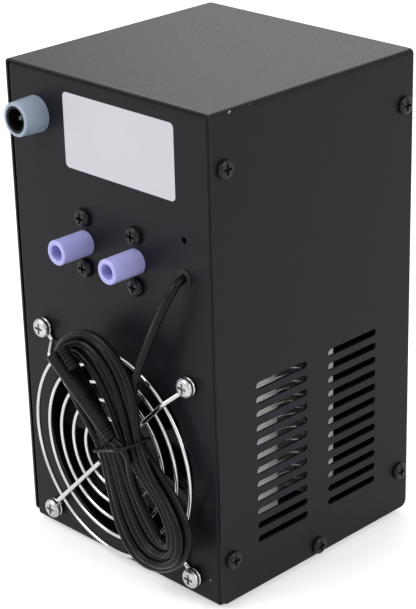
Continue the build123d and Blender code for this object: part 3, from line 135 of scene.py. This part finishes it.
# Marks on the thermostat's keys: x of the key's middle, and the mark's corners round it
KEY_FACE_Y = 0.0639
KEY_MIDDLE_Z = 0.153
MARK_PROUD = 0.00004  # in front of the key's face
MARK_SUNK = 0.0002  # behind it
SQUARE_MARK = [(-0.0013, -0.0013), (0.0013, -0.0013), (0.0013, 0.0013), (-0.0013, 0.0013)]
UP_MARK = [(-0.0019, -0.0012), (0.0019, -0.0012), (0.0003, 0.0017), (-0.0003, 0.0017)]
DOWN_MARK = [(-0.0019, 0.0012), (-0.0003, -0.0017), (0.0003, -0.0017), (0.0019, 0.0012)]
KEY_MARKS = {
    "key_set": (-0.016, SQUARE_MARK),
    "key_up": (0.0, UP_MARK),
    "key_down": (0.016, DOWN_MARK),
}

# Wear in the photograph: places in the paint where it is chipped or specked, and their radius
CHIPS = [
    ((0.0560, -0.0396, 0.2009), 0.0005),
    ((0.0560, -0.0389, 0.2013), 0.0006),
    ((0.0559, -0.0382, 0.2017), 0.0005),
    ((0.0560, -0.0287, 0.2014), 0.0005),
    ((0.0495, -0.0489, 0.0120), 0.0005),
]
CHIP_GREY = (0.30, 0.30, 0.30)
CHIP_RAGGED = 0.0006  # how uneven a chip's edge is
CHIP_GRAIN = 1400.0
CHIP_SHARP = 0.85  # share of a chip's reach at which it begins to fade

# Paint of the case
COAT_DARK = (0.0076, 0.0076, 0.0110)
COAT_LIGHT = (0.0090, 0.0090, 0.0126)
COAT_ROUGH = (0.34, 0.42)
COAT_SPECULAR = 0.12
COAT_GRAIN = 1100.0
COAT_RELIEF = 0.2

# What the finishes share
NOISE_DETAIL = 3.0
NOISE_ROUGHNESS = 0.55
NOISE_SPAN = (0.3, 0.7)  # where most of a noise's values lie
MOTTLE_SCALE = 0.15  # of the grain's scale, for the uneven colour
RELIEF_DEPTH = 0.00005
WHITE = (1.0, 1.0, 1.0, 1.0)

# Studio
LIT_FROM_ALL_SIDES = 0.58  # world's strength for the rays that aren't seen
FLOOR_HALF = 4.0
FLOOR_DARK = (0.80, 0.80, 0.80)
FLOOR_LIGHT = (0.82, 0.82, 0.82)
FLOOR_GRAIN = 60.0
FLOOR_ROUGH = 0.9
FLOOR_SPECULAR = 0.1
FLOOR_LIFT = 0.42  # own light of the floor where it is seen
LAMP_SIZE = (1.0, 1.0)
LAMP_TARGET = (0.0, 0.0, 0.1)
# Place, power in watts, and colour
LAMPS = {
    "key": ((-0.5, -1.3, 1.3), 17.5, (1.0, 0.995, 0.99)),
    "side": ((1.5, 0.3, 0.9), 12.0, (0.98, 0.99, 1.0)),
    "back": ((-0.8, 1.2, 1.2), 8.0, (1.0, 1.0, 1.0)),
}


def new_material(name):
    """Node material with its Principled shader and an object coordinate."""
    made = bpy.data.materials.new(name)
    made.use_nodes = True
    shader = made.node_tree.nodes["Principled BSDF"]
    place = made.node_tree.nodes.new("ShaderNodeTexCoord")
    return made, shader, place.outputs["Object"]


def join(made, source, target):
    """Link one node's output to another's input."""
    made.node_tree.links.new(source, target)


def noise(made, place, scale):
    """Noise over the object, from 0 to 1."""
    texture = made.node_tree.nodes.new("ShaderNodeTexNoise")
    texture.inputs["Scale"].default_value = scale
    texture.inputs["Detail"].default_value = NOISE_DETAIL
    texture.inputs["Roughness"].default_value = NOISE_ROUGHNESS
    join(made, place, texture.inputs["Vector"])
    return texture.outputs["Fac"]


def spread(made, value, low, high, span=NOISE_SPAN):
    """Value from one end of the span to the other, turned into low to high."""
    ranged = made.node_tree.nodes.new("ShaderNodeMapRange")
    ranged.inputs["From Min"].default_value = span[0]
    ranged.inputs["From Max"].default_value = span[1]
    ranged.inputs["To Min"].default_value = low
    ranged.inputs["To Max"].default_value = high
    join(made, value, ranged.inputs["Value"])
    return ranged.outputs["Result"]


def blend(made, factor, first, second):
    """Colour between first and second, each a colour or another node's output."""
    mix = made.node_tree.nodes.new("ShaderNodeMix")
    mix.data_type = "RGBA"
    join(made, factor, mix.inputs["Factor"])
    for socket, colour in (("A", first), ("B", second)):
        target = [s for s in mix.inputs if s.name == socket and s.type == "RGBA"][0]
        if isinstance(colour, tuple):
            target.default_value = (*colour, 1.0)
        else:
            join(made, colour, target)
    return [s for s in mix.outputs if s.type == "RGBA"][0]


def bump(made, shader, height, strength):
    """Surface relief from a height value."""
    relief = made.node_tree.nodes.new("ShaderNodeBump")
    relief.inputs["Strength"].default_value = strength
    relief.inputs["Distance"].default_value = RELIEF_DEPTH
    join(made, height, relief.inputs["Height"])
    join(made, relief.outputs["Normal"], shader.inputs["Normal"])


def finish(name, dark, light, rough, relief=0.0, grain=900.0, metallic=0.0, specular=0.5):
    """Surface with an uneven colour, an uneven gloss and a fine relief."""
    made, shader, place = new_material(name)
    mottle = noise(made, place, grain * MOTTLE_SCALE)
    fine = noise(made, place, grain)
    colour = blend(made, spread(made, mottle, 0.0, 1.0), dark, light)
    join(made, colour, shader.inputs["Base Color"])
    join(made, spread(made, fine, *rough), shader.inputs["Roughness"])
    shader.inputs["Metallic"].default_value = metallic
    shader.inputs["Specular IOR Level"].default_value = specular
    if relief:
        bump(made, shader, fine, relief)
    return made


def near(made, place, middle, radius):
    """1 within an uneven patch round a point of the object, 0 outside it."""
    distance = made.node_tree.nodes.new("ShaderNodeVectorMath")
    distance.operation = "DISTANCE"
    distance.inputs[1].default_value = middle
    join(made, place, distance.inputs[0])
    ragged = made.node_tree.nodes.new("ShaderNodeMath")
    ragged.operation = "MULTIPLY_ADD"
    ragged.inputs[1].default_value = CHIP_RAGGED
    join(made, noise(made, place, CHIP_GRAIN), ragged.inputs[0])
    join(made, distance.outputs["Value"], ragged.inputs[2])
    reach = radius + CHIP_RAGGED / 2
    return spread(made, ragged.outputs[0], 1.0, 0.0, span=(reach * CHIP_SHARP, reach))


def powder_coat(name):
    """Dark satin powder coat with its fine orange peel, and the photograph's few chips."""
    made, shader, place = new_material(name)
    mottle = noise(made, place, COAT_GRAIN * MOTTLE_SCALE)
    fine = noise(made, place, COAT_GRAIN)
    colour = blend(made, spread(made, mottle, 0.0, 1.0), COAT_DARK, COAT_LIGHT)
    for middle, radius in CHIPS:
        colour = blend(made, near(made, place, middle, radius), colour, CHIP_GREY)
    join(made, colour, shader.inputs["Base Color"])
    join(made, spread(made, fine, *COAT_ROUGH), shader.inputs["Roughness"])
    shader.inputs["Specular IOR Level"].default_value = COAT_SPECULAR
    bump(made, shader, fine, COAT_RELIEF)
    return made


def rubbed_black(name):
    """Blackened screw steel."""
    dark, light = (0.004, 0.004, 0.005), (0.009, 0.009, 0.010)
    return finish(name, dark, light, rough=(0.14, 0.26), relief=0.2, grain=1500.0, specular=0.22)


def frosted_nickel(name):
    """Bright plated steel with a frosted face."""
    dark, light = (0.38, 0.38, 0.38), (0.60, 0.60, 0.59)
    return finish(name, dark, light, rough=(0.20, 0.36), relief=0.35, grain=1800.0, metallic=1.0)


# Darker nickel of the jack's pin: painted shade standing in for the shade inside the jack
def shaded_nickel(name):
    """Plated pin, its colour darkened as painted shade of the jack's dark bore."""
    dark, light = (0.05, 0.05, 0.05), (0.10, 0.10, 0.10)
    return finish(name, dark, light, rough=(0.30, 0.44), relief=0.2, grain=1800.0, metallic=1.0)


def bright_chrome(name):
    """Polished plated wire."""
    dark, light = (0.52, 0.52, 0.54), (0.64, 0.64, 0.66)
    return finish(name, dark, light, rough=(0.08, 0.16), relief=0.05, grain=700.0, metallic=1.0)


def lavender_tube(name):
    """Lavender satin tube."""
    dark, light = (0.40, 0.40, 0.78), (0.44, 0.44, 0.82)
    return finish(name, dark, light, rough=(0.30, 0.40), relief=0.08)


def label_stock(name):
    """Bare silver-grey label."""
    dark, light = (0.55, 0.55, 0.60), (0.57, 0.57, 0.62)
    return finish(name, dark, light, rough=(0.40, 0.46), relief=0.02, grain=500.0)


def grey_collar(name):
    """Blue-grey moulded collar."""
    dark, light = (0.27, 0.34, 0.43), (0.30, 0.37, 0.46)
    return finish(name, dark, light, rough=(0.34, 0.44), relief=0.06, grain=700.0)


def black_plastic(name):
    """Moulded black plastic."""
    dark, light = (0.0042, 0.0042, 0.0054), (0.0066, 0.0066, 0.0082)
    return finish(name, dark, light, rough=(0.30, 0.42), relief=0.12, grain=800.0, specular=0.13)


def cord_jacket(name):
    """Smooth black jacket of the sensor cord."""
    dark, light = (0.0042, 0.0042, 0.0058), (0.0066, 0.0066, 0.0086)
    return finish(name, dark, light, rough=(0.22, 0.32), relief=0.08, grain=600.0, specular=0.13)


def mill_aluminium(name):
    """Bare aluminium of the fins and the blocks."""
    dark, light = (0.74, 0.73, 0.71), (0.90, 0.89, 0.87)
    return finish(name, dark, light, rough=(0.24, 0.40), relief=0.2, grain=1200.0, metallic=0.6)


def bare_copper(name):
    """Heat pipes and windings."""
    dark, light = (0.60, 0.26, 0.15), (0.74, 0.36, 0.22)
    return finish(name, dark, light, rough=(0.24, 0.40), relief=0.1, metallic=1.0)


def turned_brass(name):
    """Turned brass, satin."""
    dark, light = (0.62, 0.45, 0.18), (0.74, 0.55, 0.25)
    return finish(name, dark, light, rough=(0.22, 0.36), relief=0.1, metallic=1.0)


def soft_rubber(name):
    """Dull black rubber."""
    dark, light = (0.012, 0.012, 0.012), (0.020, 0.020, 0.020)
    return finish(name, dark, light, rough=(0.62, 0.80), relief=0.3, specular=0.3)


def cell_foam(name):
    """Dark closed-cell foam."""
    dark, light = (0.020, 0.020, 0.021), (0.045, 0.045, 0.046)
    return finish(name, dark, light, rough=(0.85, 0.95), relief=0.8, grain=1500.0, specular=0.2)


def white_ceramic(name):
    """Plates of the cooling module."""
    dark, light = (0.72, 0.72, 0.69), (0.80, 0.80, 0.77)
    return finish(name, dark, light, rough=(0.40, 0.52), relief=0.05)


def board_mask(name):
    """Green solder mask."""
    dark, light = (0.012, 0.10, 0.035), (0.018, 0.15, 0.055)
    return finish(name, dark, light, rough=(0.26, 0.36), relief=0.05, grain=400.0)


def terminal_plastic(name):
    """Green terminal block."""
    dark, light = (0.015, 0.20, 0.07), (0.02, 0.26, 0.10)
    return finish(name, dark, light, rough=(0.36, 0.48), relief=0.1, grain=700.0)


def wire_jacket(name):
    """Red jacket of the inner wires."""
    dark, light = (0.16, 0.012, 0.010), (0.22, 0.018, 0.014)
    return finish(name, dark, light, rough=(0.34, 0.46), relief=0.1, grain=700.0)


def dark_lens(name):
    """Smoked display window."""
    dark, light = (0.012, 0.005, 0.005), (0.016, 0.006, 0.006)
    return finish(name, dark, light, rough=(0.06, 0.10), grain=300.0)


def key_plastic(name):
    """Grey key caps."""
    dark, light = (0.16, 0.165, 0.175), (0.20, 0.205, 0.215)
    return finish(name, dark, light, rough=(0.42, 0.54), relief=0.15, grain=800.0, specular=0.4)


FINISHES = {
    "case_coat": powder_coat,
    "black_steel": rubbed_black,
    "nickel": frosted_nickel,
    "guard_chrome": bright_chrome,
    "port_purple": lavender_tube,
    "label_stock": label_stock,
    "collar_grey": grey_collar,
    "black_plastic": black_plastic,
    "aluminium": mill_aluminium,
    "copper": bare_copper,
    "brass": turned_brass,
    "rubber": soft_rubber,
    "foam": cell_foam,
    "cord_jacket": cord_jacket,
    "cord_plastic": black_plastic,
    "ceramic": white_ceramic,
    "board_green": board_mask,
    "part_black": black_plastic,
    "terminal_green": terminal_plastic,
    "wire_jacket": wire_jacket,
    "lens_dark": dark_lens,
    "key_grey": key_plastic,
}


def dress_nodes():
    """Give each CAD piece the finish of its slot in the record, and the jack's pin its own."""
    made = {}
    for entry in frame["record"]["subparts"]:
        slot = entry["material_slot"]
        if slot not in made:
            made[slot] = FINISHES[slot](slot)
        piece = nodes[entry["node"]]
        piece.data.materials.clear()
        piece.data.materials.append(made[slot])
    # The pin's darker nickel is painted shade of the jack's bore
    nodes["power_jack_pin"].data.materials[0] = shaded_nickel("nickel_painted_shade")
    return made


def set_camera():
    """Camera at the photograph's place."""
    data = bpy.data.cameras.new("camera")
    data.sensor_fit = "VERTICAL"
    data.sensor_height = CAMERA_SENSOR_H
    data.lens = CAMERA_LENS
    data.shift_x, data.shift_y = CAMERA_SHIFT
    data.clip_start = CAMERA_NEAREST
    camera = bpy.data.objects.new("camera", data)
    heading, drop = radians(CAMERA_HEADING), radians(CAMERA_DROP)
    forward = Vector((cos(heading) * cos(drop), sin(heading) * cos(drop), -sin(drop)))
    roll = Quaternion(forward, radians(-CAMERA_ROLL))
    camera.rotation_mode = "QUATERNION"
    camera.rotation_quaternion = roll @ forward.to_track_quat("-Z", "Y")
    camera.location = CAMERA_PLACE
    bpy.context.collection.objects.link(camera)
    bpy.context.scene.camera = camera


def on_turn(guide, share, layer):
    """Point on a turn: share 0 is the guide's outermost place and 1 its innermost, and layer
    is -1 for the back one, 1 for the front one and 0 for halfway."""
    (outer_x, outer_z), (inner_x, inner_z), kept = guide
    x = outer_x + (inner_x - outer_x) * share
    z = outer_z + (inner_z - outer_z) * share
    return (x, PORT_Y - TURN_OUT - layer * kept * TURN_HALF_APART, BOTTOM_Z + z)


def cord_points():
    """The whole cord: the lead, the tied turns, and the way back into the probe."""
    points = list(LEAD_ROUTE)
    points += [(x, PORT_Y - LEAD_OUT, BOTTOM_Z + z) for x, z in LEAD_JOIN]
    for turn, share in enumerate(LOWER_SHARES):
        lower_layer = 1 if turn % 2 else -1
        points += [on_turn(guide, share, lower_layer) for guide in LOWER_LOBE]
        if turn == len(UPPER_SHARES):
            break
        upper = UPPER_SHARES[turn]
        points.append(on_turn(WAIST_LEFT, (share + upper) / 2, 0))
        points += [on_turn(guide, upper, -lower_layer) for guide in UPPER_LOBE]
        following = LOWER_SHARES[turn + 1]
        points.append(on_turn(WAIST_RIGHT, (upper + following) / 2, -lower_layer))
    along_probe = Vector((cos(PROBE_TURN), 0, sin(PROBE_TURN)))
    relief_end = PROBE_TIP + along_probe * PROBE_L
    drop_back = Vector((0, CORD_UNDER_TIE, 0))
    points.append(relief_end + along_probe * (2 * CORD_UNDER_TIE) + drop_back)
    points.append(relief_end)
    return points


def tie_points():
    """The tie's loop, square to the turns at the waist."""
    middle_x, middle_z = TIE_MIDDLE
    points = []
    for along, out in TIE_LOOP:
        x = middle_x + along * cos(TIE_TURN)
        z = BOTTOM_Z + middle_z + along * sin(TIE_TURN)
        points.append((x, PORT_Y - out, z))
    return points


def round_curve(name, points, diameter, roundness, material):
    """Curve of one smooth spline with a round section, and that spline."""
    curve = bpy.data.curves.new(name, "CURVE")
    curve.dimensions = "3D"
    curve.bevel_depth = diameter / 2
    curve.bevel_resolution = roundness
    curve.resolution_u = CURVE_STEPS
    spline = curve.splines.new("NURBS")
    spline.points.add(len(points) - 1)
    for point, place in zip(spline.points, points):
        point.co = (*place, 1.0)
    spline.order_u = 3
    curve.materials.append(material)
    piece = bpy.data.objects.new(name, curve)
    bpy.context.collection.objects.link(piece)
    return piece, spline


def make_tie(material):
    """Thin tie that lies over every turn at the waist."""
    piece, spline = round_curve("hank_tie", tie_points(), TIE_D, TIE_ROUNDNESS, material)
    spline.use_cyclic_u = True
    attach(piece, "case")
    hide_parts("cord_tie")
    return piece


def make_cord(material, tie):
    """One spline from the grommet to the probe."""
    piece, spline = round_curve("sensor_cord", cord_points(), CORD_D, CORD_ROUNDNESS, material)
    spline.use_endpoint_u = True
    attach(piece, "case")
    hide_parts("sensor_cord_lead", "sensor_cord_hank")


def make_key_mark(body, key_x, corners, material):
    """Thin printed mark that stands a little proud of a key's face."""
    places = []
    for y in (KEY_FACE_Y - MARK_SUNK, KEY_FACE_Y + MARK_PROUD):
        places += [(key_x + x, y, KEY_MIDDLE_Z + z) for x, z in corners]
    count = len(corners)
    faces = [tuple(range(count)), tuple(range(2 * count - 1, count - 1, -1))]
    for i in range(count):
        after = (i + 1) % count
        faces.append((i, i + count, after + count, after))
    mesh = bpy.data.meshes.new(body + "_mark")
    mesh.from_pydata(places, [], faces)
    mesh.materials.append(material)
    piece = bpy.data.objects.new(body + "_mark", mesh)
    bpy.context.collection.objects.link(piece)
    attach(piece, body)


def make_key_marks(material):
    """A square on the set key, and an arrow on each of the other two."""
    for body, (key_x, corners) in KEY_MARKS.items():
        make_key_mark(body, key_x, corners, material)


def area_light(name, place, power, colour):
    """Soft lamp that looks at the middle of the case."""
    data = bpy.data.lights.new(name, "AREA")
    data.shape = "RECTANGLE"
    data.size, data.size_y = LAMP_SIZE
    data.energy = power
    data.color = colour
    lamp = bpy.data.objects.new(name, data)
    lamp.location = place
    aim = Vector(LAMP_TARGET) - Vector(place)
    lamp.rotation_mode = "QUATERNION"
    lamp.rotation_quaternion = aim.to_track_quat("-Z", "Y")
    bpy.context.collection.objects.link(lamp)


def seen_rays(tree):
    """1 for camera, glossy and transmission rays, and 0 for the rest."""
    path = tree.nodes.new("ShaderNodeLightPath")
    total = path.outputs["Is Camera Ray"]
    for name in ("Is Glossy Ray", "Is Transmission Ray"):
        either = tree.nodes.new("ShaderNodeMath")
        either.operation = "MAXIMUM"
        tree.links.new(total, either.inputs[0])
        tree.links.new(path.outputs[name], either.inputs[1])
        total = either.outputs[0]
    return total


def set_world():
    """White backdrop for what is seen, plain grey light for the rest."""
    world = bpy.data.worlds.new("studio")
    world.use_nodes = True
    tree = world.node_tree
    sky = tree.nodes["Background"]
    strength = tree.nodes.new("ShaderNodeMapRange")
    strength.inputs["To Min"].default_value = LIT_FROM_ALL_SIDES
    strength.inputs["To Max"].default_value = 1.0
    tree.links.new(seen_rays(tree), strength.inputs["Value"])
    tree.links.new(strength.outputs["Result"], sky.inputs["Strength"])
    sky.inputs["Color"].default_value = WHITE
    bpy.context.scene.world = world


def floor_white():
    """White floor material, lifted a little where it is seen, so that it meets the backdrop."""
    made, shader, place = new_material("floor_white")
    tree = made.node_tree
    fine = noise(made, place, FLOOR_GRAIN)
    join(made, blend(made, fine, FLOOR_DARK, FLOOR_LIGHT), shader.inputs["Base Color"])
    shader.inputs["Roughness"].default_value = FLOOR_ROUGH
    shader.inputs["Specular IOR Level"].default_value = FLOOR_SPECULAR
    shader.inputs["Emission Color"].default_value = WHITE
    lift = tree.nodes.new("ShaderNodeMath")
    lift.operation = "MULTIPLY"
    lift.inputs[1].default_value = FLOOR_LIFT
    tree.links.new(seen_rays(tree), lift.inputs[0])
    tree.links.new(lift.outputs[0], shader.inputs["Emission Strength"])
    return made


def make_floor():
    """Floor that keeps the object's shadow."""
    mesh = bpy.data.meshes.new("floor")
    half = FLOOR_HALF
    corners = [(-half, -half, 0), (half, -half, 0), (half, half, 0), (-half, half, 0)]
    mesh.from_pydata(corners, [], [(0, 1, 2, 3)])
    mesh.materials.append(floor_white())
    floor = bpy.data.objects.new("floor", mesh)
    bpy.context.collection.objects.link(floor)


def set_studio():
    """World, floor and lamps."""
    set_world()
    make_floor()
    for name, (place, power, colour) in LAMPS.items():
        area_light(name, place, power, colour)


set_camera()
finishes = dress_nodes()
make_cord(finishes["cord_jacket"], make_tie(finishes["cord_plastic"]))
make_key_marks(finishes["label_stock"])
set_studio()
bpy.context.scene.view_settings.view_transform = "Standard"
